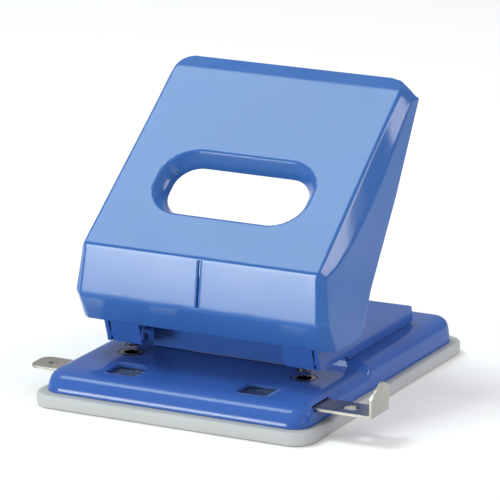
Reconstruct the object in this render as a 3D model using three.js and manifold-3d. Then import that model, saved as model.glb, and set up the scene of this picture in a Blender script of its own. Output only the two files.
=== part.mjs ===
import * as THREE from 'three';
import { mergeVertices } from 'three/addons/utils/BufferGeometryUtils.js';
import { ConvexGeometry } from 'three/addons/geometries/ConvexGeometry.js';
import Module from 'manifold-3d';

const wasm = await Module();
wasm.setup();

// Two-hole paper punch. Millimetres, +Z up, front (paper side) towards -Y.
// Origin: centre of the chip tray's underside.

// ---- driving sizes -------------------------------------------------------
const HOLE_PITCH = 80;          // centre distance of the two punched holes
const EDGE_DISTANCE = 12;       // hole centre to the paper's edge
const PIN_DIA = 6;
const PIN_Y = -32.2;            // line of the two punch pins
const PIN_TIP_Z = 17.5;         // pin tips, lever up

const TRAY_W = 126.6;
const TRAY_D = 155;
const TRAY_CORNER = 9;
const TRAY_RIM_Z = 5.6;
const TRAY_FLOOR = 2;

const BASE_W = 120.4;
const BASE_D = 146;
const BASE_CORNER = 8;
const BASE_FOOT_Z = 5.8;
const BASE_SHEET = 1.4;
const TABLE_Z = 14.2;           // top of the paper table
const PLATEAU_Z = 16.9;         // top of the raised rear part
const STEP_Y = -9;              // rear end of the paper table

const WINDOW_X = 30;            // the two sight windows in the table
const WINDOW_Y = -54.4;
const WINDOW_W = 14;
const WINDOW_D = 13;

const BAR_Y = -54.4;            // paper guide bar
const BAR_W = 14.2;
const BAR_TOP_Z = 12.2;
const BAR_T = 1.1;
const BAR_LEFT_X = -72.5;
const BAR_RIGHT_X = 84.4;
const STOP_TOP_Z = 24;

const PIVOT_Y = -43.9;          // lever shaft, inside the nose of the lever
const PIVOT_Z = 45;
const SHAFT_DIA = 4;
const LEVER_STROKE = 30;        // degrees
const PRESS_ARM = PIN_Y - PIVOT_Y;
const PRESS_ROD_DIA = 5;

const LEVER_SHEET = 1.5;
const TOP_ANGLE = Math.atan2(62.9, 83.8);
const FOLD = { y: -47.3, z: 63.5 };
const CHIN = { y: -50.2, z: 41.7 };
const NOSE = { y: -41.6, z: 29.5 };
const TOP_LENGTH = 104.7;
const FLANGE_X = 58;

const BRACKET_X = 49.2;         // outer face of the bracket's side plates
const BRACKET_SHEET = 1.7;
const GUIDE_WEB_Z = 29.8;
const GUIDE_EAR_Z = 19.2;
const THROAT_TOP_Z = 19.2;

const GAP = 0.2;                // clearance left between touching pieces

// ---- small geometry helpers ----------------------------------------------
function toSolid(geometry) {
  const bare = new THREE.BufferGeometry();
  const source = geometry.index ? geometry.toNonIndexed() : geometry;
  bare.setAttribute('position', source.getAttribute('position').clone());
  const merged = mergeVertices(bare, 1e-4);
  return new wasm.Manifold(new wasm.Mesh({
    numProp: 3,
    vertProperties: new Float32Array(merged.getAttribute('position').array),
    triVerts: new Uint32Array(merged.index.array),
  }));
}

function toGeometry(solid) {
  const mesh = solid.getMesh();
  const geometry = new THREE.BufferGeometry();
  geometry.setAttribute('position', new THREE.BufferAttribute(Float32Array.from(mesh.vertProperties), 3));
  geometry.setIndex(new THREE.BufferAttribute(Uint32Array.from(mesh.triVerts), 1));
  geometry.computeVertexNormals();
  return geometry;
}

function union(...solids) {
  return solids.reduce((a, b) => a.add(b));
}

function box(x0, x1, y0, y1, z0, z1) {
  const geometry = new THREE.BoxGeometry(x1 - x0, y1 - y0, z1 - z0);
  geometry.translate((x0 + x1) / 2, (y0 + y1) / 2, (z0 + z1) / 2);
  return toSolid(geometry);
}

function shapeFrom(points) {
  return new THREE.Shape(points.map(([u, v]) => new THREE.Vector2(u, v)));
}

// Prism whose outline is given as [y, z] pairs, running from x0 to x1.
function prismX(points, x0, x1) {
  const geometry = new THREE.ExtrudeGeometry(shapeFrom(points), { depth: x1 - x0, bevelEnabled: false });
  const turn = new THREE.Matrix4().makeBasis(
    new THREE.Vector3(0, 1, 0), new THREE.Vector3(0, 0, 1), new THREE.Vector3(1, 0, 0));
  geometry.applyMatrix4(turn);
  geometry.translate(x0, 0, 0);
  return toSolid(geometry);
}

// Prism whose outline is given as [x, y] pairs, running from z0 to z1.
function prismZ(points, z0, z1) {
  const geometry = new THREE.ExtrudeGeometry(shapeFrom(points), { depth: z1 - z0, bevelEnabled: false });
  geometry.translate(0, 0, z0);
  return toSolid(geometry);
}

function cylinderZ(dia, x, y, z0, z1, sides = 32) {
  const geometry = new THREE.CylinderGeometry(dia / 2, dia / 2, z1 - z0, sides);
  geometry.rotateX(Math.PI / 2);
  geometry.translate(x, y, (z0 + z1) / 2);
  return toSolid(geometry);
}

function cylinderX(dia, y, z, x0, x1, sides = 28) {
  const geometry = new THREE.CylinderGeometry(dia / 2, dia / 2, x1 - x0, sides);
  geometry.rotateZ(Math.PI / 2);
  geometry.translate((x0 + x1) / 2, y, z);
  return toSolid(geometry);
}

// Turned piece: [radius, height] pairs around a vertical axis at (x, y).
function turned(profile, x, y, z, sides = 32) {
  const geometry = new THREE.LatheGeometry(profile.map(([r, h]) => new THREE.Vector2(r, h)), sides);
  geometry.rotateX(Math.PI / 2);
  geometry.translate(x, y, z);
  return toSolid(geometry);
}

// Loop of a rectangle x0..x1, y0..y1 with four corner radii, counter-clockwise.
function roundedLoop(x0, x1, y0, y1, radii, steps = 6) {
  const [front, rear] = radii;
  const corners = [
    [x1 - front, y0 + front, front, -90], [x1 - rear, y1 - rear, rear, 0],
    [x0 + rear, y1 - rear, rear, 90], [x0 + front, y0 + front, front, 180],
  ];
  const loop = [];
  for (const [cx, cy, r, start] of corners) {
    for (let i = 0; i <= steps; i += 1) {
      const a = THREE.MathUtils.degToRad(start + 90 * i / steps);
      loop.push([cx + r * Math.cos(a), cy + r * Math.sin(a)]);
    }
  }
  return loop;
}

// Closed body through a stack of loops (each [x, y] pairs at one height).
function loft(levels) {
  const count = levels[0].loop.length;
  const positions = [];
  const point = (level, i) => [...levels[level].loop[i % count], levels[level].z];
  for (let k = 0; k + 1 < levels.length; k += 1) {
    for (let i = 0; i < count; i += 1) {
      const [a, b, c, d] = [point(k, i), point(k, i + 1), point(k + 1, i + 1), point(k + 1, i)];
      positions.push(...a, ...b, ...c, ...a, ...c, ...d);
    }
  }
  const last = levels.length - 1;
  for (let i = 1; i + 1 < count; i += 1) {
    positions.push(...point(0, 0), ...point(0, i + 1), ...point(0, i));
    positions.push(...point(last, 0), ...point(last, i), ...point(last, i + 1));
  }
  const geometry = new THREE.BufferGeometry();
  geometry.setAttribute('position', new THREE.BufferAttribute(new Float32Array(positions), 3));
  return toSolid(geometry);
}

// Points of an arc in a plane, degrees counter-clockwise.
function arc(cu, cv, r, from, to, steps = 6) {
  const points = [];
  for (let i = 0; i <= steps; i += 1) {
    const a = THREE.MathUtils.degToRad(from + (to - from) * i / steps);
    points.push([cu + r * Math.cos(a), cv + r * Math.sin(a)]);
  }
  return points;
}

function mirrored(solid) {
  return solid.mirror([1, 0, 0]);
}

function bothSides(solid) {
  return solid.add(mirrored(solid));
}

// ---- chip tray -----------------------------------------------------------
function chipTray() {
  const hx = TRAY_W / 2;
  const hy = TRAY_D / 2;
  const ring = (z, inset) => ({
    z,
    loop: roundedLoop(-hx + inset, hx - inset, -hy + inset, hy - inset,
      [TRAY_CORNER - inset, TRAY_CORNER - inset]),
  });
  const body = loft([ring(0, 1), ring(0.9, 0.1), ring(4.2, 0), ring(5.2, 0.4), ring(TRAY_RIM_Z, 1.3)]);
  const lipX = BASE_W / 2 - 2.2;
  const lipY = BASE_D / 2 - 3.2;
  const lip = loft([3, 7.8].map((z) => ({ z, loop: roundedLoop(-lipX, lipX, -lipY, lipY, [6, 6]) })));
  const inside = loft([
    { z: TRAY_FLOOR, loop: roundedLoop(-lipX + 2.4, lipX - 2.4, -lipY + 2.4, lipY - 2.4, [4, 4]) },
    { z: TRAY_FLOOR + 2, loop: roundedLoop(-lipX + 1.4, lipX - 1.4, -lipY + 1.4, lipY - 1.4, [4.6, 4.6]) },
    { z: 12, loop: roundedLoop(-lipX + 1.4, lipX - 1.4, -lipY + 1.4, lipY - 1.4, [4.6, 4.6]) },
  ]);
  return body.add(lip).subtract(inside);
}

// ---- pressed-steel base --------------------------------------------------
const TABLE_SECTION = [[BASE_FOOT_Z, 0, 0], [9.2, 0.4, 0.9], [11.2, 0.9, 2.1], [12.7, 1.9, 4.2],
  [13.6, 3, 7], [14.05, 4.3, 10.2], [TABLE_Z, 5.6, 13]];
const PLATEAU_SECTION = [[BASE_FOOT_Z, 0], [9.2, 0.4], [12.6, 0.9], [14.7, 1.7],
  [16.1, 3], [16.7, 4.4], [PLATEAU_Z, 5.8]];

function baseForm(shrink) {
  const hx = BASE_W / 2 - shrink;
  const hy = BASE_D / 2 - shrink;
  const drop = (z) => (z === BASE_FOOT_Z ? (shrink ? z - 3 : z) : z - shrink);
  const table = loft(TABLE_SECTION.map(([z, side, front]) => {
    const r = Math.max(BASE_CORNER - side * 0.6 - shrink, 1.5);
    return { z: drop(z), loop: roundedLoop(-hx + side, hx - side, -hy + front, hy - side, [r, r]) };
  }));
  const plateau = loft(PLATEAU_SECTION.map(([z, side]) => {
    const r = Math.max(BASE_CORNER - side * 0.6 - shrink, 1.5);
    const lean = Math.max(z - 12.6, 0) * 1.2;
    const front = STEP_Y - 4 + shrink + lean;
    return { z: drop(z), loop: roundedLoop(-hx + side, hx - side, front, hy - side, [1.5, r]) };
  }));
  return table.add(plateau);
}

function basePlate() {
  let base = baseForm(0).subtract(baseForm(BASE_SHEET));
  for (const side of [-1, 1]) {
    const cx = side * WINDOW_X;
    const sight = (z, grow) => ({
      z, loop: roundedLoop(cx - WINDOW_W / 2 - grow, cx + WINDOW_W / 2 + grow,
        WINDOW_Y - WINDOW_D / 2 - grow, WINDOW_Y + WINDOW_D / 2 + grow, [1.2 + grow, 1.2 + grow], 4),
    });
    base = base.subtract(loft([sight(TABLE_Z - 3, -0.6), sight(TABLE_Z - 1, -0.3), sight(TABLE_Z - 0.3, 0.1),
      sight(TABLE_Z + 1, 0.9)]));
    base = base.subtract(cylinderZ(DIE_SHANK_DIA + 0.4, side * HOLE_PITCH / 2, PIN_Y, 8, 20, 40));
    const wall = side * BASE_W / 2;
    base = base.subtract(box(wall - 6, wall + 6, BAR_Y - BAR_W / 2 - 0.6, BAR_Y + BAR_W / 2 + 0.6,
      BAR_TOP_Z - BAR_T - 0.5, BAR_TOP_Z + 0.5));
  }
  for (const [x, y] of FOOT_RIVETS) base = base.subtract(cylinderZ(RIVET_DIA + 0.4, x, y, 10, 20, 20));
  return base;
}

// ---- die bushes ----------------------------------------------------------
const DIE_SHANK_DIA = 11;

function dieBush(x) {
  const top = TABLE_Z + 0.1;
  return turned([[PIN_DIA / 2 + 0.08, -5.6], [5, -5.6], [6.8, -5.2], [6.8, -2.0], [DIE_SHANK_DIA / 2, -1.9],
    [DIE_SHANK_DIA / 2, -0.3], [DIE_SHANK_DIA / 2 - 0.4, 0], [PIN_DIA / 2 + 0.08, 0], [PIN_DIA / 2 + 0.08, -5.6]],
  x, PIN_Y, top, 40);
}

// ---- rivets --------------------------------------------------------------
const RIVET_DIA = 3.4;
const FOOT_RIVETS = [[-42.6, 4], [-42.6, 41], [42.6, 4], [42.6, 41]];

// Domed head above, shank through the sheets, flat closing head below.
function rivet(x, y, seat, grip) {
  const r = RIVET_DIA / 2;
  return turned([[0, -grip - 1], [r * 1.5, -grip - 1], [r * 1.6, -grip - GAP], [r, -grip - GAP], [r, GAP],
    [r * 1.75, GAP], [r * 1.6, 0.9], [r * 1.05, 1.5], [0, 1.7]], x, y, seat, 24);
}

// ---- bracket -------------------------------------------------------------
const WALL_LEAN = Math.tan(THREE.MathUtils.degToRad(20));
const wallY = (z) => -39.2 - (z - 29.5) * WALL_LEAN;

function bracketSidePlate() {
  const foot = PLATEAU_Z + GAP;
  const outline = [
    [STEP_Y, foot], ...arc(50.2, foot + 2.2, 2.2, -90, -5, 5), ...arc(49.6, 22.8, 2, -5, 72, 5),
    [13, 36.4], [-13.6, 45.1], ...arc(-26.8, 43.3, 1.8, 90, 180, 4),
    ...arc(-32.1, 42.1, 3.5, 0, -180, 10), ...arc(-37.6, 44.6, 2, 0, 90, 4),
    ...arc(PIVOT_Y, PIVOT_Z, 3.6, 75, 205, 10), [wallY(38), 38],
    [wallY(22), 22], [wallY(22) + 0.6, THROAT_TOP_Z], [STEP_Y - 3, THROAT_TOP_Z],
  ];
  return prismX(outline, BRACKET_X - BRACKET_SHEET, BRACKET_X)
    .subtract(cylinderX(SHAFT_DIA + 0.16, PIVOT_Y, PIVOT_Z, 40, 60));
}

function bracket() {
  const inner = BRACKET_X - BRACKET_SHEET;
  const t = BRACKET_SHEET;
  const slant = t / Math.cos(Math.atan(WALL_LEAN));
  const wall = prismX([[wallY(21.6), 21.6], [wallY(21.6) + slant, 21.6], [wallY(37.6) + slant, 37.6],
    [wallY(37.6), 37.6]], -inner - 0.01, inner + 0.01);
  const web = box(-inner - 0.01, inner + 0.01, wallY(GUIDE_WEB_Z) + 0.4, STOP_Y + t, GUIDE_WEB_Z, GUIDE_WEB_Z + t);
  const paperStop = box(-36, 36, STOP_Y, STOP_Y + t, TABLE_Z + 0.4, GUIDE_WEB_Z + 0.2);
  const foot = box(37, inner + 0.01, STEP_Y + 4, 50, PLATEAU_Z + GAP, PLATEAU_Z + GAP + t);
  const ear = prismZ([[33.1, wallY(GUIDE_EAR_Z) - 0.1], [46.5, wallY(GUIDE_EAR_Z) - 0.1],
    ...arc(HOLE_PITCH / 2, PIN_Y + 1.6, 6.4, 0, 180, 12)], GUIDE_EAR_Z, GUIDE_EAR_Z + t);
  const bend = prismX([[wallY(21), GUIDE_EAR_Z + 0.7], [wallY(GUIDE_EAR_Z) + 0.7, GUIDE_EAR_Z],
    [wallY(GUIDE_EAR_Z) + 3, GUIDE_EAR_Z], [wallY(22) + slant + 1, 22.1], [wallY(25) + slant, 25], [wallY(25), 25]],
  33.1, 46.5);
  let body = union(wall, web, paperStop, bothSides(union(bracketSidePlate(), foot, ear, bend)));
  body = body.subtract(box(-32.2, 32.2, -60, -33.5, 10, GUIDE_WEB_Z - 0.6));
  for (const side of [-1, 1]) {
    for (const x of [32.6, 47]) {
      body = body.subtract(box(side * x - 0.5, side * x + 0.5, -60, wallY(31) + 3.2, 10, 31.4));
    }
    body = body.subtract(cylinderZ(PIN_DIA + 0.18, side * HOLE_PITCH / 2, PIN_Y, 15, 40));
  }
  for (const [x, y] of FOOT_RIVETS) body = body.subtract(cylinderZ(RIVET_DIA + 0.4, x, y, 10, 25, 20));
  return body;
}

const STOP_Y = PIN_Y + EDGE_DISTANCE;

// ---- lever shaft and clips -----------------------------------------------
function leverShaft() {
  return cylinderX(SHAFT_DIA, PIVOT_Y, PIVOT_Z, -53.8, 53.8);
}

function shaftClip(side) {
  const ring = cylinderX(7.2, PIVOT_Y, PIVOT_Z, 52.2, 53.1).subtract(
    cylinderX(SHAFT_DIA + 0.2, PIVOT_Y, PIVOT_Z, 50, 55));
  const mouth = prismX([[PIVOT_Y - 1, PIVOT_Z], [PIVOT_Y + 1, PIVOT_Z], [PIVOT_Y + 1.4, PIVOT_Z + 5],
    [PIVOT_Y - 1.4, PIVOT_Z + 5]], 50, 55);
  const clip = ring.subtract(mouth);
  return side > 0 ? clip : mirrored(clip);
}

// ---- lever (handle) ------------------------------------------------------
const alongTop = (s) => ({ y: FOLD.y + s * Math.cos(TOP_ANGLE), z: FOLD.z + s * Math.sin(TOP_ANGLE) });

function leverHullPoints() {
  const points = [];
  const put = (x, y, z) => {
    points.push(new THREE.Vector3(x, y, z), new THREE.Vector3(-x, y, z));
  };
  const bandStart = alongTop(97);
  put(52.7, bandStart.y - 2, bandStart.z - 1.5);
  put(49, bandStart.y, bandStart.z);
  put(53.7, FOLD.y + 1.4, FOLD.z + 0.9);
  for (let i = 0; i <= 5; i += 1) {
    const a = Math.PI / 2 * i / 5;
    const p = alongTop(94.7 + 10 * Math.cos(a));
    const x = FLANGE_X - 10 + 10 * Math.sin(a);
    put(x, p.y + 0.2 * Math.cos(a), p.z - 0.5 * Math.cos(a) - 3.4 * Math.sin(a) ** 2);
    put(x, p.y + 7, p.z - 9);
  }
  put(FLANGE_X, -21.9, 71.4);
  put(57.2, -42, 59.4);
  put(55, FOLD.y + 2.6, FOLD.z - 2.2);
  put(52.2, FOLD.y - 0.1, FOLD.z - 0.6);
  put(54.4, CHIN.y, CHIN.z + 0.6);
  put(54.4, CHIN.y + 0.5, CHIN.z - 0.9);
  put(FLANGE_X, CHIN.y + 3.6, CHIN.z + 1.5);
  put(55.4, NOSE.y + 0.1, NOSE.z - 0.1);
  put(FLANGE_X, NOSE.y + 2, NOSE.z - 0.1);
  put(55.4, NOSE.y + 15, 0);
  put(FLANGE_X, NOSE.y + 17, 0);
  put(FLANGE_X, 60, 0);
  put(FLANGE_X, 60, 95);
  return points;
}

// Block bounded by the hull's faces, each moved inwards by the given distance.
function hullBody(points, inward) {
  const position = new ConvexGeometry(points).getAttribute('position');
  const planes = [];
  for (let i = 0; i < position.count; i += 3) {
    const corners = [0, 1, 2].map((k) => new THREE.Vector3().fromBufferAttribute(position, i + k));
    const plane = new THREE.Plane().setFromCoplanarPoints(...corners);
    const open = plane.normal.z < -0.7 || plane.normal.y > 0.95;
    const known = planes.some((p) => p.normal.dot(plane.normal) > 0.99999
      && Math.abs(p.constant - plane.constant) < 0.02);
    if (!known && !open) planes.push(plane);
  }
  let body = box(-90, 90, -90, 90 + inward, -20 - inward, 160);
  for (const plane of planes) {
    const n = plane.normal;
    body = body.trimByPlane([-n.x, -n.y, -n.z], plane.constant + inward);
  }
  return body;
}

function leverSideOutline() {
  const tail = alongTop(TOP_LENGTH);
  return [
    [-70, NOSE.z], ...arc(-19.8, NOSE.z + 7, 7, -90, -20, 6), [-11.2, 42.6], [-6.4, 49], [38.4, 117.2],
    [tail.y + 3.2, tail.z - 7.4], [60, tail.z - 7.4], [60, 140], [-70, 140],
  ];
}

function inTopPlane(solid) {
  const c = Math.cos(TOP_ANGLE);
  const s = Math.sin(TOP_ANGLE);
  const m = new THREE.Matrix4().makeBasis(
    new THREE.Vector3(1, 0, 0), new THREE.Vector3(0, c, s), new THREE.Vector3(0, -s, c));
  m.setPosition(0, FOLD.y, FOLD.z);
  return solid.transform(m.elements);
}

const HAND_HOLE = { s: 37.5, w: 70, h: 33, r: 14.5, depth: 6.8, drawX: 4.3, drawS: 3.7 };

// Tapered plug of the hand hole, in the top plate's own plane.
function handHolePlug(grow, top, bottom) {
  const h = HAND_HOLE;
  const levels = [];
  const steps = 6;
  for (let i = 0; i <= steps; i += 1) {
    const t = i / steps;
    const ease = 1 - (1 - t) ** 1.5;
    const dx = h.w / 2 - h.drawX * ease + grow;
    const ds = h.h / 2 - h.drawS * ease + grow;
    levels.push({ z: -h.depth * t, loop: roundedLoop(-dx, dx, h.s - ds, h.s + ds, [h.r - 3 * t, h.r - 3 * t], 8) });
  }
  levels.reverse();
  if (bottom > h.depth) levels.unshift({ z: -bottom, loop: levels[0].loop });
  if (top > 0) levels.push({ z: top, loop: levels[levels.length - 1].loop });
  return loft(levels);
}

function lever() {
  const points = leverHullPoints();
  const shell = hullBody(points, 0).subtract(hullBody(points, LEVER_SHEET));
  const cut = inTopPlane(handHolePlug(0, 5, 14));
  const collar = inTopPlane(handHolePlug(1.3, 0, 0)).intersect(hullBody(points, 0.3));
  const seam = box(-0.4, 0.4, -60, FOLD.y + 3, CHIN.z + 1, FOLD.z - 1);
  return shell.intersect(prismX(leverSideOutline(), -80, 80)).add(collar).subtract(cut).subtract(seam);
}

// ---- press yoke, welded under the lever's top plate ------------------------
const PRESS_ANGLE = THREE.MathUtils.degToRad(LEVER_STROKE / 2);
const PRESS_ROD_Y = PIVOT_Y + PRESS_ARM * Math.cos(PRESS_ANGLE);
const PRESS_ROD_Z = PIVOT_Z + PRESS_ARM * Math.sin(PRESS_ANGLE);

function pressYoke() {
  const c = Math.cos(TOP_ANGLE);
  const s = Math.sin(TOP_ANGLE);
  const under = (along, depth) => {
    const p = alongTop(along);
    return [p.y + s * depth, p.z - c * depth];
  };
  const depth = LEVER_SHEET + GAP;
  const web = prismX([under(6, depth), under(6, depth + 2), under(15.5, depth + 2), under(15.5, depth)], -51.8, 51.8);
  const cheek = prismX([
    under(15.5, depth), under(6, depth), ...arc(PIVOT_Y, PIVOT_Z, 3.7, 160, 290, 10),
    ...arc(PRESS_ROD_Y, PRESS_ROD_Z, 4.4, -90, 20, 8),
  ], 49.9, 51.8)
    .subtract(cylinderX(SHAFT_DIA + 0.16, PIVOT_Y, PIVOT_Z, 40, 60))
    .subtract(cylinderX(PRESS_ROD_DIA + 0.3, PRESS_ROD_Y, PRESS_ROD_Z, 40, 60));
  return union(web, bothSides(cheek));
}

function pressRod() {
  return cylinderX(PRESS_ROD_DIA, PRESS_ROD_Y, PRESS_ROD_Z, -52.6, 52.6, 32);
}

// ---- punch pins, clips and springs ----------------------------------------
const PIN_TOP_Z = PRESS_ROD_Z - PRESS_ROD_DIA / 2 - 0.1;
const CLIP_Z = PIN_TOP_Z - 2.6;
const SPRING_FOOT_Z = GUIDE_WEB_Z + BRACKET_SHEET + 0.05;

function punchPin(x) {
  const length = PIN_TOP_Z - PIN_TIP_Z;
  const groove = CLIP_Z - PIN_TIP_Z;
  const r = PIN_DIA / 2;
  return turned([[0, 0.8], [r - 0.5, 0.05], [r, 0], [r, groove - 0.1], [r - 0.7, groove - 0.1],
    [r - 0.7, groove + 1.1], [r, groove + 1.1], [r, length - 0.6], [r - 0.6, length], [0, length]], x, PIN_Y, PIN_TIP_Z, 36);
}

function springClip(x) {
  const r = PIN_DIA / 2 - 0.55;
  return turned([[r, 0], [4.9, 0], [5, 0.15], [5, 0.85], [4.9, 1], [r, 1], [r, 0]], x, PIN_Y, CLIP_Z, 36);
}

function returnSpring(x) {
  const wire = 0.55;
  const coil = 4.7;
  const turns = 4.25;
  const low = SPRING_FOOT_Z + wire;
  const high = CLIP_Z - 0.05 - wire;
  class Helix extends THREE.Curve {
    getPoint(t, target = new THREE.Vector3()) {
      const a = 2 * Math.PI * turns * t;
      return target.set(x + coil * Math.cos(a), PIN_Y + coil * Math.sin(a), low + (high - low) * t);
    }
  }
  const steps = 110;
  const sides = 8;
  const tube = new THREE.TubeGeometry(new Helix(), steps, wire, sides, false);
  const positions = Array.from(tube.toNonIndexed().getAttribute('position').array);
  const ring = tube.getAttribute('position');
  const at = (row, k) => [0, 1, 2].map((c) => ring.getComponent(row * (sides + 1) + (k % sides), c));
  for (let k = 1; k + 1 < sides; k += 1) {
    positions.push(...at(0, 0), ...at(0, k), ...at(0, k + 1));
    positions.push(...at(steps, 0), ...at(steps, k + 1), ...at(steps, k));
  }
  const closed = new THREE.BufferGeometry();
  closed.setAttribute('position', new THREE.BufferAttribute(new Float32Array(positions), 3));
  return toSolid(closed);
}

// ---- paper guide ----------------------------------------------------------
function guideBar() {
  const y0 = BAR_Y - BAR_W / 2;
  const y1 = BAR_Y + BAR_W / 2;
  const outline = [[BAR_RIGHT_X, y0], [BAR_RIGHT_X, y1], ...arc(BAR_LEFT_X + 4, y1 - 4, 4, 90, 180, 6),
    ...arc(BAR_LEFT_X + 4, y0 + 4, 4, 180, 270, 6)];
  const strip = prismZ(outline, BAR_TOP_Z - BAR_T, BAR_TOP_Z);
  const stop = prismX([[y0, BAR_TOP_Z - BAR_T], [y1 + 1.6, BAR_TOP_Z - BAR_T], [y1 + 2.2, STOP_TOP_Z - 3.4],
    [y1 + 1.6, STOP_TOP_Z - 2.4], [y1 - 3.2, STOP_TOP_Z - 0.1], [y1 - 4.4, STOP_TOP_Z - 0.1],
    [y0 + 1, STOP_TOP_Z - 4.2], [y0, STOP_TOP_Z - 5]], BAR_RIGHT_X - BAR_T, BAR_RIGHT_X);
  const hole = cylinderZ(3.2, -65, BAR_Y, 5, 20, 24);
  const grip = cylinderZ(6, 72.2, BAR_Y, 5, 20, 32);
  return strip.add(stop).subtract(hole).subtract(grip);
}

// Track welded under the table; the bar slides in it.
function guideChannel() {
  const y0 = BAR_Y - BAR_W / 2;
  const y1 = BAR_Y + BAR_W / 2;
  const roof = TABLE_Z - BASE_SHEET - GAP;
  const floor = BAR_TOP_Z - BAR_T - 0.3;
  const section = [[y0 - 1.5, 11.8], [y0 - 1.5, floor - 1], [y1 + 1.5, floor - 1], [y1 + 1.5, roof - 1],
    [y1 + 7.4, roof - 1], [y1 + 7.4, roof], [y1 + 0.5, roof], [y1 + 0.5, floor], [y0 - 0.5, floor], [y0 - 0.5, 11.8]];
  let channel = prismX(section, -52, 52);
  for (const side of [-1, 1]) {
    channel = channel.subtract(box(side * 34 - 18, side * 34 + 18, y1 + 1.5, y1 + 10, 5, 14));
  }
  return channel.intersect(box(-60, 60, -64.2, 0, 0, 20));
}

// ---- assembly --------------------------------------------------------------
const PAINT = new THREE.MeshStandardMaterial({ color: 0x4468b8, roughness: 0.3 });
const STEEL = new THREE.MeshStandardMaterial({ color: 0xb9babb, roughness: 0.3, metalness: 0.9 });
const PLASTIC = new THREE.MeshStandardMaterial({ color: 0xd2d6da, roughness: 0.6 });

const punch = new THREE.Group();
punch.name = 'paper_punch';

function place(name, solid, material) {
  const mesh = new THREE.Mesh(toGeometry(solid), material);
  mesh.name = name;
  punch.add(mesh);
}

place('chip_tray', chipTray(), PLASTIC);
place('base_plate', basePlate(), PAINT);
place('bracket', bracket(), PAINT);
place('handle', lever(), PAINT);
place('press_yoke', pressYoke(), STEEL);
place('press_rod', pressRod(), STEEL);
place('lever_shaft', leverShaft(), STEEL);
place('guide_bar', guideBar(), STEEL);
place('guide_channel', guideChannel(), STEEL);
for (const [suffix, side] of [['left', -1], ['right', 1]]) {
  const x = side * HOLE_PITCH / 2;
  place(`shaft_clip_${suffix}`, shaftClip(side), STEEL);
  place(`die_bush_${suffix}`, dieBush(x), STEEL);
  place(`punch_pin_${suffix}`, punchPin(x), STEEL);
  place(`spring_clip_${suffix}`, springClip(x), STEEL);
  place(`return_spring_${suffix}`, returnSpring(x), STEEL);
}
FOOT_RIVETS.forEach(([x, y], i) => {
  const clamped = GAP + BRACKET_SHEET;
  place(`foot_rivet_${i + 1}`, rivet(x, y, PLATEAU_Z + clamped, clamped + BASE_SHEET), STEEL);
});

export default punch;
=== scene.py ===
import math

import bpy
import bmesh
from mathutils import Matrix, Vector


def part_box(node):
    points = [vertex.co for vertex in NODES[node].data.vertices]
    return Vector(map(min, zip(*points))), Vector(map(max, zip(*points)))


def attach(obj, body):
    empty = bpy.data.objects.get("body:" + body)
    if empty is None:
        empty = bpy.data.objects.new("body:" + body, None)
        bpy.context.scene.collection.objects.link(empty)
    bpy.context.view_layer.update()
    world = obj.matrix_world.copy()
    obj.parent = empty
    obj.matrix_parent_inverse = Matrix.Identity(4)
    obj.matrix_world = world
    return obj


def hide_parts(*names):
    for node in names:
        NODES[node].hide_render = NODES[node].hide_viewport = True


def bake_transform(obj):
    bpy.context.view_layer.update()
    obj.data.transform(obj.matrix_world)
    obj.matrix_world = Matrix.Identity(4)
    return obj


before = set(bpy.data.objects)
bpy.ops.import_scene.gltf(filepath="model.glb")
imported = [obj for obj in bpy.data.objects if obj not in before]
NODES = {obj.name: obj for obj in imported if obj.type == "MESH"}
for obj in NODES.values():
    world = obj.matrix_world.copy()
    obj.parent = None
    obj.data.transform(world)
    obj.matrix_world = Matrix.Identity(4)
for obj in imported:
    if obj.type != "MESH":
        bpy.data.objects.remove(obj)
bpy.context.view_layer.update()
MM = 0.001
SHARP_ANGLE = 32


# ---------------------------------------------------------------- mesh helpers
def mesh_object(name, verts, faces):
    """New mesh object from points in millimetres."""
    mesh = bpy.data.meshes.new(name)
    mesh.from_pydata([tuple(c * MM for c in v) for v in verts], [], faces)
    mesh.validate()
    obj = bpy.data.objects.new(name, mesh)
    bpy.context.scene.collection.objects.link(obj)
    return obj


def bake(obj):
    """Replaces the object's mesh by what its modifiers make of it."""
    bpy.context.view_layer.update()
    graph = bpy.context.evaluated_depsgraph_get()
    mesh = bpy.data.meshes.new_from_object(obj.evaluated_get(graph))
    obj.modifiers.clear()
    obj.data = mesh


def recalc(obj):
    """Merges doubled points and turns the faces outwards."""
    bm = bmesh.new()
    bm.from_mesh(obj.data)
    bmesh.ops.remove_doubles(bm, verts=bm.verts, dist=1e-6)
    bmesh.ops.dissolve_degenerate(bm, edges=bm.edges, dist=1e-6)
    bmesh.ops.recalc_face_normals(bm, faces=bm.faces)
    bm.to_mesh(obj.data)
    bm.free()


def smooth(obj, angle=SHARP_ANGLE):
    """Smooth shading, with edges sharper than the angle (degrees) kept sharp."""
    obj.data.polygons.foreach_set("use_smooth", [True] * len(obj.data.polygons))
    obj.data.set_sharp_from_angle(angle=math.radians(angle))
    obj.data.update()


def cut(obj, other):
    """Subtracts the other object and removes it."""
    mod = obj.modifiers.new("cut", "BOOLEAN")
    mod.operation = "DIFFERENCE"
    mod.solver = "EXACT"
    mod.object = other
    bake(obj)
    bpy.data.objects.remove(other)


def bevel(obj, width, segments=3, angle=35):
    mod = obj.modifiers.new("edge", "BEVEL")
    mod.width = width * MM
    mod.segments = segments
    mod.limit_method = "ANGLE"
    mod.angle_limit = math.radians(angle)
    mod.miter_outer = "MITER_ARC"
    mod.use_clamp_overlap = True
    bake(obj)


def solidify(obj, thickness, even=True):
    """Gives an open surface its sheet thickness (mm), to the inside."""
    mod = obj.modifiers.new("sheet", "SOLIDIFY")
    mod.thickness = thickness * MM
    mod.offset = -1
    mod.use_even_offset = even
    mod.use_quality_normals = True
    bake(obj)


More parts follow.
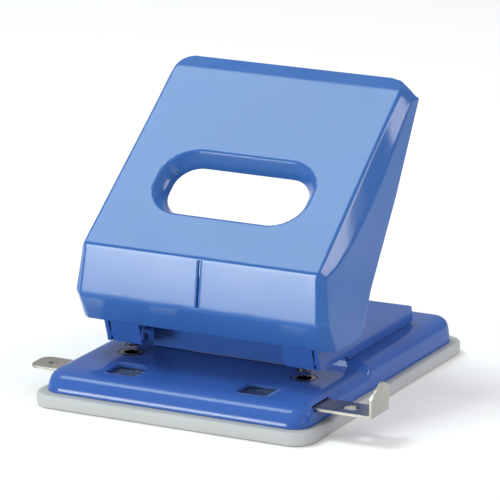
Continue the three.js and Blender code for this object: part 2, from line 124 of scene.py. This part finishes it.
def face_outwards(obj, point):
    """Makes the normals agree, with the face nearest the point (mm) turned upwards."""
    bm = bmesh.new()
    bm.from_mesh(obj.data)
    bmesh.ops.recalc_face_normals(bm, faces=bm.faces)
    target = Vector(point) * MM
    probe = min(bm.faces, key=lambda f: (f.calc_center_median() - target).length)
    if probe.normal.z < 0:
        bmesh.ops.reverse_faces(bm, faces=bm.faces)
    bm.to_mesh(obj.data)
    bm.free()


def finish_cad(name, width):
    """Rounds the edges of a carried-over CAD node (mm) without touching its mesh."""
    obj = NODES[name]
    weld = obj.modifiers.new("weld", "WELD")
    weld.merge_threshold = 0.01 * MM
    flat = obj.modifiers.new("flat", "DECIMATE")
    flat.decimate_type = "DISSOLVE"
    flat.angle_limit = math.radians(0.6)
    if width:
        mod = obj.modifiers.new("edge", "BEVEL")
        mod.width = width * MM
        mod.segments = 3
        mod.limit_method = "ANGLE"
        mod.angle_limit = math.radians(28)
    split = obj.modifiers.new("sharp", "EDGE_SPLIT")
    split.split_angle = math.radians(SHARP_ANGLE)
    even = obj.modifiers.new("normals", "WEIGHTED_NORMAL")
    even.keep_sharp = True
    return obj


def arc(cu, cv, r, start, end, steps):
    """Points of an arc, from one angle (degrees) to the other."""
    points = []
    for i in range(steps + 1):
        a = math.radians(start + (end - start) * i / steps)
        points.append((cu + r * math.cos(a), cv + r * math.sin(a)))
    return points


def rounded_rect(hx, hy, r, steps=8, cy=0.0):
    """Outline of a rounded rectangle with the given half sizes, centred on (0, cy)."""
    u, v = hx - r, hy - r
    points = []
    for x0, y0, start in ((u, -v, -90), (u, v, 0), (-u, v, 90), (-u, -v, 180)):
        points += [(x, y + cy) for x, y in arc(x0, y0, r, start, start + 90, steps)]
    return points


def skin_faces(rings, n):
    """Quads between consecutive closed rings of n points each."""
    faces = []
    for k in range(rings - 1):
        for i in range(n):
            j = (i + 1) % n
            faces.append((k * n + i, k * n + j, (k + 1) * n + j, (k + 1) * n + i))
    return faces


def loft(name, rings, cap=True):
    """Skin through closed rings of equal length, each a list of 3-D points."""
    n = len(rings[0])
    verts = [p for ring in rings for p in ring]
    faces = skin_faces(len(rings), n)
    if cap:
        faces.append(tuple(reversed(range(n))))
        faces.append(tuple(range((len(rings) - 1) * n, len(rings) * n)))
    return mesh_object(name, verts, faces)


def prism_z(name, outline, z0, z1):
    return loft(name, [[(x, y, z0) for x, y in outline], [(x, y, z1) for x, y in outline]])


def prism_x(name, outline, x0, x1):
    return loft(name, [[(x0, y, z) for y, z in outline], [(x1, y, z) for y, z in outline]])


def join(obj, other):
    """Moves the other object's mesh into this one."""
    bm = bmesh.new()
    bm.from_mesh(obj.data)
    bm.from_mesh(other.data)
    bm.to_mesh(obj.data)
    bm.free()
    bpy.data.objects.remove(other)


def lerp(a, b, t):
    return a + (b - a) * t


def clamp(t):
    return min(max(t, 0), 1)


def ease(t):
    """Smooth step from 0 to 1."""
    return t * t * (3 - 2 * t)


def table(points, x):
    """Linear interpolation through (x, value) pairs, constant beyond both ends."""
    if x <= points[0][0]:
        return points[0][1]
    for (x0, v0), (x1, v1) in zip(points, points[1:]):
        if x <= x1:
            return lerp(v0, v1, (x - x0) / (x1 - x0))
    return points[-1][1]


# ---------------------------------------------------------------- materials
def node_material(name):
    mat = bpy.data.materials.new(name)
    mat.use_nodes = True
    nodes = mat.node_tree.nodes
    return mat, nodes, mat.node_tree.links, nodes["Principled BSDF"]


def noise(nodes, links, coords, scale, detail=3.0, rough=0.5, stretch=None):
    """Noise in object coordinates, optionally scaled per axis."""
    tex = nodes.new("ShaderNodeTexNoise")
    tex.inputs["Scale"].default_value = scale
    tex.inputs["Detail"].default_value = detail
    tex.inputs["Roughness"].default_value = rough
    source = coords.outputs["Object"]
    if stretch:
        mapping = nodes.new("ShaderNodeMapping")
        mapping.inputs["Scale"].default_value = stretch
        links.new(source, mapping.inputs["Vector"])
        source = mapping.outputs["Vector"]
    links.new(source, tex.inputs["Vector"])
    return tex


def ramp(nodes, links, source, stops):
    node = nodes.new("ShaderNodeValToRGB")
    element = node.color_ramp.elements
    while len(element) < len(stops):
        element.new(0.5)
    for e, (pos, col) in zip(element, stops):
        e.position = pos
        e.color = (*col, 1)
    links.new(source, node.inputs["Fac"])
    return node


def map_range(nodes, links, source, low, high, out_low, out_high):
    node = nodes.new("ShaderNodeMapRange")
    node.inputs["From Min"].default_value = low
    node.inputs["From Max"].default_value = high
    node.inputs["To Min"].default_value = out_low
    node.inputs["To Max"].default_value = out_high
    links.new(source, node.inputs["Value"])
    return node


def bump(nodes, links, height, strength, distance, shader):
    node = nodes.new("ShaderNodeBump")
    node.inputs["Strength"].default_value = strength
    node.inputs["Distance"].default_value = distance
    links.new(height, node.inputs["Height"])
    links.new(node.outputs["Normal"], shader.inputs["Normal"])


def enamel(name, dark, light):
    """Glossy stove enamel over sheet steel: slight orange peel and colour drift."""
    mat, nodes, links, shader = node_material(name)
    coords = nodes.new("ShaderNodeTexCoord")
    drift = noise(nodes, links, coords, 14, 2)
    colour = ramp(nodes, links, drift.outputs["Fac"], [(0.3, dark), (0.7, light)])
    links.new(colour.outputs["Color"], shader.inputs["Base Color"])
    haze = noise(nodes, links, coords, 55, 4)
    rough = map_range(nodes, links, haze.outputs["Fac"], 0.3, 0.7, 0.12, 0.17)
    links.new(rough.outputs["Result"], shader.inputs["Roughness"])
    peel = noise(nodes, links, coords, 700, 2)
    bump(nodes, links, peel.outputs["Fac"], 0.02, 0.0003, shader)
    shader.inputs["Specular IOR Level"].default_value = 0.18
    return mat


def tray_plastic():
    """Pale grey moulded plastic with a fine spark-eroded grain."""
    mat, nodes, links, shader = node_material("grey_plastic")
    coords = nodes.new("ShaderNodeTexCoord")
    drift = noise(nodes, links, coords, 20, 3)
    colour = ramp(nodes, links, drift.outputs["Fac"],
                  [(0.3, (0.41, 0.42, 0.43)), (0.7, (0.45, 0.46, 0.475))])
    links.new(colour.outputs["Color"], shader.inputs["Base Color"])
    grain = noise(nodes, links, coords, 1500, 2)
    rough = map_range(nodes, links, grain.outputs["Fac"], 0.3, 0.7, 0.42, 0.55)
    links.new(rough.outputs["Result"], shader.inputs["Roughness"])
    bump(nodes, links, grain.outputs["Fac"], 0.12, 0.0003, shader)
    shader.inputs["Specular IOR Level"].default_value = 0.35
    return mat


def steel(name, base, dark, rough_low, rough_high, stretch):
    """Rolled or ground steel with fine scratches along one axis."""
    mat, nodes, links, shader = node_material(name)
    coords = nodes.new("ShaderNodeTexCoord")
    streak = noise(nodes, links, coords, 260, 4, 0.6, stretch)
    cloud = noise(nodes, links, coords, 60, 3)
    mix = nodes.new("ShaderNodeMath")
    mix.operation = "MULTIPLY"
    links.new(streak.outputs["Fac"], mix.inputs[0])
    links.new(cloud.outputs["Fac"], mix.inputs[1])
    colour = ramp(nodes, links, mix.outputs["Value"], [(0.12, dark), (0.4, base)])
    links.new(colour.outputs["Color"], shader.inputs["Base Color"])
    shader.inputs["Metallic"].default_value = 1.0
    rough = map_range(nodes, links, streak.outputs["Fac"], 0.3, 0.7, rough_low, rough_high)
    links.new(rough.outputs["Result"], shader.inputs["Roughness"])
    bump(nodes, links, streak.outputs["Fac"], 0.15, 0.0002, shader)
    return mat


ENAMEL = enamel("blue_enamel", (0.035, 0.116, 0.365), (0.041, 0.129, 0.395))
# Base and bracket: a darker, less green copy of the hood's enamel, which is painted shade; the real punch has
# one paint.
SHADED_ENAMEL = enamel("blue_enamel_shaded", (0.034, 0.097, 0.358), (0.040, 0.108, 0.388))
PLASTIC = tray_plastic()
PLATED = steel("plated_steel", (0.62, 0.61, 0.58), (0.42, 0.41, 0.39), 0.22, 0.38, (1, 12, 12))
GUIDE = steel("guide_steel", (0.56, 0.53, 0.49), (0.34, 0.32, 0.29), 0.22, 0.36, (1, 14, 14))
# Die bushes and punch pins: steel darkened far below its own colour, painted shade under the lever.
SHADED_PIN_STEEL = steel("hardened_steel", (0.15, 0.15, 0.16), (0.07, 0.07, 0.08), 0.16, 0.3, (12, 12, 1))
SPRING = steel("spring_steel", (0.55, 0.55, 0.56), (0.35, 0.35, 0.36), 0.16, 0.3, (8, 8, 8))


def paint(obj, mat):
    obj.data.materials.clear()
    obj.data.materials.append(mat)


# ---------------------------------------------------------------- lever hood
FOLD = (-47.3, 63.5)
CHIN = (-50.2, 41.7)
NOSE = (-41.6, 29.5)
TOP_ANGLE = math.atan2(62.9, 83.8)
CT, ST = math.cos(TOP_ANGLE), math.sin(TOP_ANGLE)
TOP_LENGTH = 105.1
BAND_START = 97
HOOD_SHEET = 1.5
CREASE_CORNER = 7.5
CORNER_ANGLES = (12, 24, 36, 48, 60, 70, 80, 90)
SIDE_X = 58.0
# by y: how far the side facets hang below the top plane, and the half-width of the sides
DROP = [(-46, 4.2), (-42, 5.4), (-36, 7.2), (-28, 8.6), (-16, 9.9), (-4, 10.5), (7, 10.5), (16, 9.3),
        (24, 7.6), (34, 6.2)]
HOOD_X = [(-10, SIDE_X), (34, 56.5)]
SKIRT_TOP = (40.0, 116.6)
REAR_FLANGE = (41.2, 118.4)
# hand hole: half length and half width, corner radius, distance up from the fold, rolled lip
HOLE_X, HOLE_S, HOLE_R, HOLE_CENTRE, HOLE_LIP = 35, 16.5, 14.5, 37.5, 0.9
HOLE_STEPS = 14


def on_top(s):
    """(y, z) on the top plate, s millimetres up from the fold; the end band bends down slightly."""
    y, z = FOLD[0] + s * CT, FOLD[1] + s * ST
    if s > BAND_START:
        y, z = y + (s - BAND_START) * 0.04, z - (s - BAND_START) * 0.095
    return y, z


def hood_rows():
    """Per row: point on the profile, half-width of the crease, outline point, free edge of the skirt."""
    rows = []
    free_corner = arc(-19.8, 36.5, 7, -90, -20, 4)
    for t, free in zip((0, 0.3, 0.62, 0.9), free_corner):
        rows.append(((lerp(NOSE[0], CHIN[0], t), lerp(NOSE[1], CHIN[1], t)), lerp(55.0, 54.4, t),
                     (SIDE_X, lerp(-39.4, -46.7, t), lerp(29.5, 43.0, t)), free))
    for t in (0, 0.06, 0.35, 0.65, 0.95):
        free = (lerp(-13.2, -7.6, t), lerp(34.1, 47.4, t)) if t > 0 else free_corner[4]
        rows.append(((lerp(CHIN[0], FOLD[0], t), lerp(CHIN[1], FOLD[1], t)), lerp(54.4, 52.9, t),
                     (lerp(SIDE_X, 56.0, t), lerp(-46.7, -44.6, t), lerp(43.0, 59.4, t)), free))
    straight = TOP_LENGTH - CREASE_CORNER
    stations = [0, 1.2, 5] + [5 + (straight - 5) * i / 27 for i in range(1, 28)]
    for s in stations:
        t = s / straight
        y, z = on_top(s)
        y_out = max(y, -44.6) if s > 6 else lerp(-44.6, on_top(6)[0], s / 6)
        z_line = FOLD[1] + (y_out - FOLD[0]) * ST / CT
        x_out = table([(-44.6, 56.0), (-38, 57.3), (-28, SIDE_X)], y_out) + table(HOOD_X, y_out) - SIDE_X
        rows.append(((y, z), lerp(53.7, 52.6, t), (x_out, y_out, z_line - table(DROP, y_out)),
                     (lerp(-6.4, SKIRT_TOP[0], t), lerp(49, SKIRT_TOP[1], t))))
    x_side, y_side, z_side = rows[-1][2]
    y_end, z_end = on_top(TOP_LENGTH)
    for degrees in CORNER_ANGLES:
        a = math.radians(degrees)
        y, z = on_top(straight + CREASE_CORNER * math.sin(a))
        crease = 52.6 - CREASE_CORNER + CREASE_CORNER * math.cos(a)
        along = 6.6 * min(degrees / 50, 1)
        x_out = x_side - 1.1 * max(degrees - 30, 0) / 20 if degrees < 50 else x_side - 1.1
        y_out, z_out = y_side + along, z_side + along * ST / CT
        if degrees > 50:
            back = (degrees - 50) / 40
            x_out = lerp(x_out, 49.6, back)
            y_out = lerp(y_out, y_end + 0.35, back)
            z_out = lerp(z_out, z_end - 0.5, back)
        free = [lerp(SKIRT_TOP[i], REAR_FLANGE[i], math.sin(a)) for i in (0, 1)]
        rows.append(((y, z), crease, (x_out, y_out, z_out), free))
    return rows


def hole_outline(grow):
    """Hand hole on the top plane, grown outwards or inwards."""
    squeeze = 1 if grow > 0 else 0.9
    return rounded_rect(HOLE_X + grow, HOLE_S + grow * squeeze, HOLE_R + grow * 0.9, HOLE_STEPS, HOLE_CENTRE)


def build_collar():
    """Drawn collar of the hand hole, from the lip down and back up on its far side."""
    lip = HOLE_LIP
    section = [(lip + 0.3, -0.35), (lip + 0.02, 0.0)]
    section += [(lip * (1 - math.sin(a)), -lip * (1 - math.cos(a))) for a in map(math.radians, (20, 38, 52))]
    in_start, depth_start = section[-1]
    for i in range(1, 9):
        t = i / 8
        section.append((lerp(in_start, -4.0, 1 - (1 - t) ** 1.35), lerp(depth_start, -6.6, t)))
    section += [(-3.9, -6.95), (-3.4, -7.1), (-2.9, -6.95), (-2.6, -6.5), (-1.6, -4.2), (0.2, -2.2),
                (lip + 0.6, -1.2), section[0]]
    rings = [[(x, s, depth) for x, s in hole_outline(grow)] for grow, depth in section]
    collar = loft("collar", rings, cap=False)
    recalc(collar)
    return collar


def build_hood():
    """Folded sheet: half a cage of quads on each side of the seam plane, subdivided and thickened."""
    rows = hood_rows()
    last = len(rows) - 1
    across = [0, 0.14, 0.3, 0.46, 0.62, 0.78, 0.9, 0.975, 1]
    strip = [0.14, 0.5, 0.82, 1]
    edge = len(across) + len(strip) - 1
    verts, faces, index = [], [], {}

    def vert(key, p):
        index[key] = len(verts)
        verts.append(tuple(p))

    for r, ((y, z), crease, out, _) in enumerate(rows):
        for side in (1, -1):
            for c, f in enumerate(across):
                if side < 0 and c == 0:
                    index[(r, -1, 0)] = index[(r, 1, 0)]
                    continue
                vert((r, side, c), (side * crease * f, y, z))
            for c, f in enumerate(strip):
                point = side * lerp(crease, out[0], f), lerp(y, out[1], f), lerp(z, out[2], f)
                vert((r, side, len(across) + c), point)
    for r in range(last):
        for side in (-1, 1):
            for c in range(edge):
                quad = [index[(r, side, c)], index[(r, side, c + 1)],
                        index[(r + 1, side, c + 1)], index[(r + 1, side, c)]]
                faces.append(tuple(quad if side > 0 else reversed(quad)))
    # skirt: side flanges and the short flange across the top end
    rim = [(r, 1, edge) for r in range(len(rows))]
    rim += [(last, 1, c) for c in range(edge - 1, -1, -1)]
    rim += [(last, -1, c) for c in range(1, edge + 1)]
    rim += [(r, -1, edge) for r in range(last - 1, -1, -1)]
    for i, key in enumerate(rim):
        r, side, c = key
        base = verts[index[key]]
        if c == edge:
            reach = table(HOOD_X, base[1]) if r < last - len(CORNER_ANGLES) else abs(base[0])
            end = (side * reach, *rows[r][3])
        else:
            end = (base[0], *REAR_FLANGE)
        length = math.dist(base, end)
        index[("skirt", i, 0)] = index[key]
        for k, t in enumerate((min(2.0 / length, 0.3), 0.55, 0.9, 1)):
            vert(("skirt", i, k + 1), [lerp(base[a], end[a], t) for a in range(3)])
    for i in range(len(rim) - 1):
        for k in range(4):
            faces.append((index[("skirt", i, k)], index[("skirt", i, k + 1)],
                          index[("skirt", i + 1, k + 1)], index[("skirt", i + 1, k)]))
    obj = mesh_object("lever_hood", verts, faces)
    face_outwards(obj, (0, -10, 91))
    mod = obj.modifiers.new("bends", "SUBSURF")
    mod.levels = mod.render_levels = 2
    mod.boundary_smooth = "PRESERVE_CORNERS"
    bake(obj)
    solidify(obj, HOOD_SHEET, even=False)

    plane = Matrix(((1, 0, 0, 0), (0, CT, -ST, FOLD[0] * MM), (0, ST, CT, FOLD[1] * MM), (0, 0, 0, 1)))
    outline = rounded_rect(HOLE_X + HOLE_LIP, HOLE_S + HOLE_LIP, HOLE_R + HOLE_LIP, HOLE_STEPS, HOLE_CENTRE)
    hole = prism_z("hole", outline, -12, 6)
    hole.data.transform(plane)
    cut(obj, hole)
    seam = prism_x("seam", [(-60, 42.9), (-44, 42.9), (-44, 62.3), (-60, 62.3)], -0.45, 0.45)
    cut(obj, seam)
    bevel(obj, 0.32, 2, 50)

    collar = build_collar()
    collar.data.transform(plane)
    join(obj, collar)
    smooth(obj, 30)
    return obj


hood = build_hood()
paint(hood, ENAMEL)
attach(hood, "lever")
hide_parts("handle")


# ---------------------------------------------------------------- pressed base
BASE_HX, BASE_HY = 60.2, 73.0
FIELD_X, FIELD_Y = 50.0, 56.0
FOOT = 5.8
TABLE_TOP, PLATEAU_TOP = 14.2, 16.9
BASE_SHEET = 1.4
STEP_START, STEP_LENGTH = -13.2, 4.6
WINDOW_X, WINDOW_Y = 30, -54.4
DIE_X, DIE_Y = 40, -32.2
# rounded edge, foot to top: height, inset at the sides, inset at the ends
LOW = [(FOOT, 0, 0), (7.6, 0.12, 0.35), (9.2, 0.35, 0.9), (10.4, 0.6, 1.5), (11.5, 1.05, 2.5),
       (12.3, 1.6, 3.7), (12.95, 2.3, 5.1), (13.45, 3.2, 6.8), (13.8, 4.1, 8.6), (14.05, 5.0, 10.4),
       (14.17, 6.0, 12.2), (TABLE_TOP, 7.4, 14.5)]
HIGH = [(FOOT, 0, 0), (7.8, 0.15, 0.15), (10.0, 0.4, 0.4), (12.0, 0.7, 0.7), (13.4, 1.05, 1.05),
        (14.5, 1.6, 1.6), (15.35, 2.3, 2.3), (15.95, 3.1, 3.1), (16.4, 4.0, 4.0), (16.68, 5.0, 5.0),
        (16.83, 6.1, 6.1), (PLATEAU_TOP, 7.4, 7.4)]
CORNER_STEPS = 12


def step_share(y):
    """0 on the paper table, 1 on the raised rear part."""
    return ease(clamp((y - STEP_START) / STEP_LENGTH))


def dish(x, y):
    """Depth of the pressed-in rim around the two sight windows."""
    away = math.hypot(max(abs(abs(x) - WINDOW_X) - 6.2, 0), max(abs(y - WINDOW_Y) - 5.7, 0))
    return 0.45 * ease(clamp(1 - away / 3.6))


def level(k, y):
    """Height and side inset of the edge's ring k at this y."""
    share = step_share(y)
    return lerp(LOW[k][0], HIGH[k][0], share), lerp(LOW[k][1], HIGH[k][1], share)


def base_corner(k, sx, sy):
    """Ring k around one corner, from the side to the front or rear."""
    y_edge = BASE_HY - (LOW if sy < 0 else HIGH)[k][2]
    z, inset = level(k, sy * FIELD_Y)
    x_edge = BASE_HX - inset
    r = max(8 - 0.88 * LOW[k][1], 1.5)
    points = [(x_edge, FIELD_Y)]
    for i in range(CORNER_STEPS + 1):
        a = math.pi / 2 * i / CORNER_STEPS
        points.append((x_edge - r + r * math.cos(a), y_edge - r + r * math.sin(a)))
    points.append((FIELD_X, y_edge))
    return [(sx * x, sy * y, z) for x, y in points]


def base_ring(k, xs, ys):
    """Ring k of the edge: front, right, rear and left, with the corners between."""
    right = [(BASE_HX - level(k, y)[1], y, level(k, y)[0]) for y in ys[1:-1]]
    left = [(-x, y, z) for x, y, z in right]
    ring = [(x, LOW[k][2] - BASE_HY, LOW[k][0]) for x in xs[1:-1]]
    ring += reversed(base_corner(k, 1, -1))
    ring += right + base_corner(k, 1, 1)
    ring += [(x, BASE_HY - HIGH[k][2], HIGH[k][0]) for x in reversed(xs[1:-1])]
    ring += reversed(base_corner(k, -1, 1))
    ring += reversed(left)
    ring += base_corner(k, -1, -1)
    return ring


def build_base():
    xs = [-FIELD_X + 2 * FIELD_X * i / 84 for i in range(85)]
    ys = [-FIELD_Y + (FIELD_Y - 16) * i / 40 for i in range(40)] + [-16 + 8.6 * i / 14 for i in range(15)]
    ys += [-7.4 + (FIELD_Y + 7.4) * i / 14 for i in range(1, 15)]
    rings = [base_ring(k, xs, ys) for k in range(len(LOW))]
    n = len(rings[0])
    verts = [point for ring in rings for point in ring]
    faces = skin_faces(len(rings), n)

    # the flat field, stepped from the table up to the rear part
    last_x, last_y = len(xs) - 1, len(ys) - 1
    grid = {}
    for a, x in enumerate(xs):
        for b, y in enumerate(ys):
            grid[(a, b)] = len(verts)
            verts.append((x, y, lerp(TABLE_TOP, PLATEAU_TOP, step_share(y))))
    for a in range(last_x):
        for b in range(last_y):
            faces.append((grid[(a, b)], grid[(a + 1, b)], grid[(a + 1, b + 1)], grid[(a, b + 1)]))

    # the last ring meets the field; each corner arc meets one corner point of it
    corner = CORNER_STEPS + 3
    border = [grid[(a, 0)] for a in range(1, last_x)]
    border += [grid[(last_x, 0)]] * corner
    border += [grid[(last_x, b)] for b in range(1, last_y)]
    border += [grid[(last_x, last_y)]] * corner
    border += [grid[(a, last_y)] for a in range(last_x - 1, 0, -1)]
    border += [grid[(0, last_y)]] * corner
    border += [grid[(0, b)] for b in range(last_y - 1, 0, -1)]
    border += [grid[(0, 0)]] * corner
    top = (len(rings) - 1) * n
    for i in range(n):
        j = (i + 1) % n
        quad = (top + i, top + j, border[j], border[i])
        faces.append(quad[:3] if border[i] == border[j] else quad)
    obj = mesh_object("base_shell", verts, faces)
    for v in obj.data.vertices:
        v.co.z -= dish(v.co.x / MM, v.co.y / MM) * MM
    face_outwards(obj, (0, 20, 17))
    solidify(obj, BASE_SHEET)

    # on each side a sight window, a slot for the guide bar in the side wall, and a die hole
    for side in (-1, 1):
        window = prism_z("window", rounded_rect(7.0, 6.5, 1.6, 6, WINDOW_Y), 8, 20)
        window.data.transform(Matrix.Translation((side * WINDOW_X * MM, 0, 0)))
        cut(obj, window)
        slot = loft("slot", [[(x, y, z) for y, z in rounded_rect(7.7, 1.15, 0.5, 4)] for x in (0, 10)])
        slot.data.transform(Matrix.Translation((side * 0.060 - 0.005, WINDOW_Y * MM, 0.01165)))
        cut(obj, slot)
        die = prism_z("die", arc(0, 0, 5.75, 0, 360 - 7.5, 47), 8, 20)
        die.data.transform(Matrix.Translation((side * DIE_X * MM, DIE_Y * MM, 0)))
        cut(obj, die)
    bevel(obj, 0.35, 3, 50)
    smooth(obj, 30)
    return obj


base = build_base()
# the base wears the darker enamel copy: painted shade
paint(base, SHADED_ENAMEL)
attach(base, "base")
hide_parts("base_plate")


# ---------------------------------------------------------------- chip tray
TRAY_HX, TRAY_HY = 63.3, 77.5
TRAY_RIM = 5.6
LIP_HX, LIP_HY = 58.0, 69.8


def build_tray():
    def outer(z, inset):
        return [(x, y, z) for x, y in rounded_rect(TRAY_HX - inset, TRAY_HY - inset, max(9.0 - inset, 1), 12)]

    def lip(z, inset):
        outline = rounded_rect(LIP_HX - inset, LIP_HY - inset, max(6 - inset * 0.5, 3), 12)
        return [(x, y, z) for x, y in outline]

    # underside and outer wall, the rounded rim, then the upstand and the well inside it
    rings = [outer(z, inset) for z, inset in (
        (0, 6), (0, 1.3), (0.15, 0.6), (0.55, 0.2), (1.1, 0.05), (4.3, 0))]
    for a in map(math.radians, range(15, 91, 15)):
        rings.append(outer(TRAY_RIM - 1.3 + 1.3 * math.sin(a), 1.3 - 1.3 * math.cos(a)))
    rings.append(outer(TRAY_RIM, 2.6))
    rings += [lip(z, inset) for z, inset in (
        (TRAY_RIM, -0.6), (5.75, -0.15), (6.2, 0), (7.5, 0), (7.75, 0.3), (7.8, 0.7), (7.7, 1.2), (7.4, 1.4),
        (3.0, 1.5), (2.3, 1.9), (2.0, 2.6), (2.0, 12))]
    obj = loft("tray_moulding", rings)
    recalc(obj)
    smooth(obj, 40)
    return obj


tray = build_tray()
paint(tray, PLASTIC)
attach(tray, "tray")
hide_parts("chip_tray")


# ---------------------------------------------------------------- springs
WIRE, COIL, TURNS = 0.55, 4.7, 4.25
SPRING_POINTS = 200
END_RISE = 1.1


def build_spring(name, x, y, low, high):
    """Compression spring with closed end turns, between two heights (mm)."""
    curve = bpy.data.curves.new(name, "CURVE")
    curve.dimensions = "3D"
    curve.bevel_depth = WIRE * MM
    curve.bevel_resolution = 4
    curve.use_fill_caps = True
    spline = curve.splines.new("POLY")
    spline.points.add(SPRING_POINTS - 1)
    for i, point in enumerate(spline.points):
        t = i / (SPRING_POINTS - 1)
        a = 2 * math.pi * TURNS * t
        ends = END_RISE * min(t / 0.2, 1) + END_RISE * clamp((t - 0.8) / 0.2)
        z = low + WIRE + ends + (high - low - 2 * WIRE - 2 * END_RISE) * clamp((t - 0.16) / 0.68)
        point.co = ((x + COIL * math.cos(a)) * MM, (y + COIL * math.sin(a)) * MM, z * MM, 1)
    obj = bpy.data.objects.new(name, curve)
    bpy.context.scene.collection.objects.link(obj)
    bpy.context.view_layer.update()
    graph = bpy.context.evaluated_depsgraph_get()
    mesh = bpy.data.meshes.new_from_object(obj.evaluated_get(graph))
    bpy.data.objects.remove(obj)
    out = bpy.data.objects.new(name, mesh)
    bpy.context.scene.collection.objects.link(out)
    smooth(out, 60)
    paint(out, SPRING)
    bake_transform(out)
    return out


for suffix, side in (("left", -1), ("right", 1)):
    low_corner, high_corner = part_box("return_spring_" + suffix)
    spring = build_spring("coil_" + suffix, side * DIE_X, DIE_Y, low_corner.z / MM, high_corner.z / MM)
    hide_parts("return_spring_" + suffix)


# ---------------------------------------------------------------- carried-over nodes
# node: width of its rounded edges (mm), material
CARRIED = {
    # the bracket wears the darker enamel copy: painted shade
    "bracket": (0.35, SHADED_ENAMEL), "guide_bar": (0.18, GUIDE), "guide_channel": (0.15, PLATED),
    "press_yoke": (0.3, PLATED), "press_rod": (0.3, PLATED), "lever_shaft": (0.3, PLATED),
}
for suffix in ("left", "right"):
    CARRIED["shaft_clip_" + suffix] = (0.1, PLATED)
    # die bushes and punch pins in the darkened steel: painted shade
    CARRIED["die_bush_" + suffix] = (0.12, SHADED_PIN_STEEL)
    CARRIED["punch_pin_" + suffix] = (0.0, SHADED_PIN_STEEL)
    CARRIED["spring_clip_" + suffix] = (0.0, PLATED)
for i in range(1, 5):
    CARRIED["foot_rivet_%d" % i] = (0.0, PLATED)
for name, (width, mat) in CARRIED.items():
    obj = finish_cad(name, width)
    paint(obj, mat)
    smooth(obj)


# ---------------------------------------------------------------- floor, light, camera
def floor_paint():
    mat, _, _, shader = node_material("floor")
    shader.inputs["Base Color"].default_value = (0.99, 0.965, 0.965, 1)
    shader.inputs["Roughness"].default_value = 0.6
    shader.inputs["Specular IOR Level"].default_value = 0.2
    return mat


FLOOR = 4000
floor = mesh_object("floor", [(-FLOOR, -FLOOR, 0), (FLOOR, -FLOOR, 0), (FLOOR, FLOOR, 0), (-FLOOR, FLOOR, 0)],
                    [(0, 1, 2, 3)])
paint(floor, floor_paint())

world = bpy.data.worlds.new("studio")
bpy.context.scene.world = world
world.use_nodes = True
sky_nodes, sky_links = world.node_tree.nodes, world.node_tree.links
sky_coords = sky_nodes.new("ShaderNodeTexCoord")
sky_split = sky_nodes.new("ShaderNodeSeparateXYZ")
sky_links.new(sky_coords.outputs["Generated"], sky_split.inputs["Vector"])
sky = sky_nodes.new("ShaderNodeValToRGB")
sky.color_ramp.elements[0].position = 0.0
sky.color_ramp.elements[0].color = (0.42, 0.43, 0.47, 1)
sky.color_ramp.elements[1].position = 0.6
sky.color_ramp.elements[1].color = (1, 1, 1, 1)
sky_links.new(sky_split.outputs["Z"], sky.inputs["Fac"])
sky_links.new(sky.outputs["Color"], sky_nodes["Background"].inputs["Color"])
sky_nodes["Background"].inputs["Strength"].default_value = 0.76


def softbox(name, direction, distance, size, radiance, colour=(1, 1, 1), centre=(0, 0, 0.07)):
    """Rectangular light seen from the punch in the given direction with the given brightness."""
    light = bpy.data.lights.new(name, "AREA")
    light.shape = "RECTANGLE"
    light.size, light.size_y = size
    light.energy = radiance * math.pi * size[0] * size[1]
    light.color = colour
    obj = bpy.data.objects.new(name, light)
    obj.location = Vector(centre) + Vector(direction).normalized() * distance
    obj.rotation_euler = (Vector(centre) - obj.location).to_track_quat("-Z", "Y").to_euler()
    bpy.context.scene.collection.objects.link(obj)


softbox("top_box", (-0.44, -0.01, 0.90), 1.3, (0.46, 0.46), 11.6, (0.82, 1.0, 0.94))
softbox("front_box", (-0.44, -0.90, 0.04), 1.25, (0.36, 0.22), 36.0, (0.93, 1.0, 0.94), (0, -0.04, 0.05))
softbox("side_box", (0.84, 0.34, 0.44), 1.3, (0.24, 0.22), 17.0)
softbox("right_fill", (1, -0.35, 0.25), 1.3, (0.5, 0.4), 2.4)

AZIMUTH, ELEVATION, DISTANCE = math.radians(27.12), math.radians(15.39), 1.7566
AIM = Vector((-0.00125, 0, 0.0551))
SENSOR = 36
FOCAL_SHARE = 8.4572  # focal length over sensor width
back = Vector((math.sin(AZIMUTH) * math.cos(ELEVATION), -math.cos(AZIMUTH) * math.cos(ELEVATION),
               math.sin(ELEVATION)))
camera = bpy.data.cameras.new("camera")
camera.sensor_width = SENSOR
camera.lens = FOCAL_SHARE * SENSOR
view = bpy.data.objects.new("camera", camera)
view.location = AIM + back * DISTANCE
view.rotation_euler = (-back).to_track_quat("-Z", "Y").to_euler()
bpy.context.scene.collection.objects.link(view)
bpy.context.scene.camera = view
bpy.context.scene.view_settings.view_transform = "Standard"
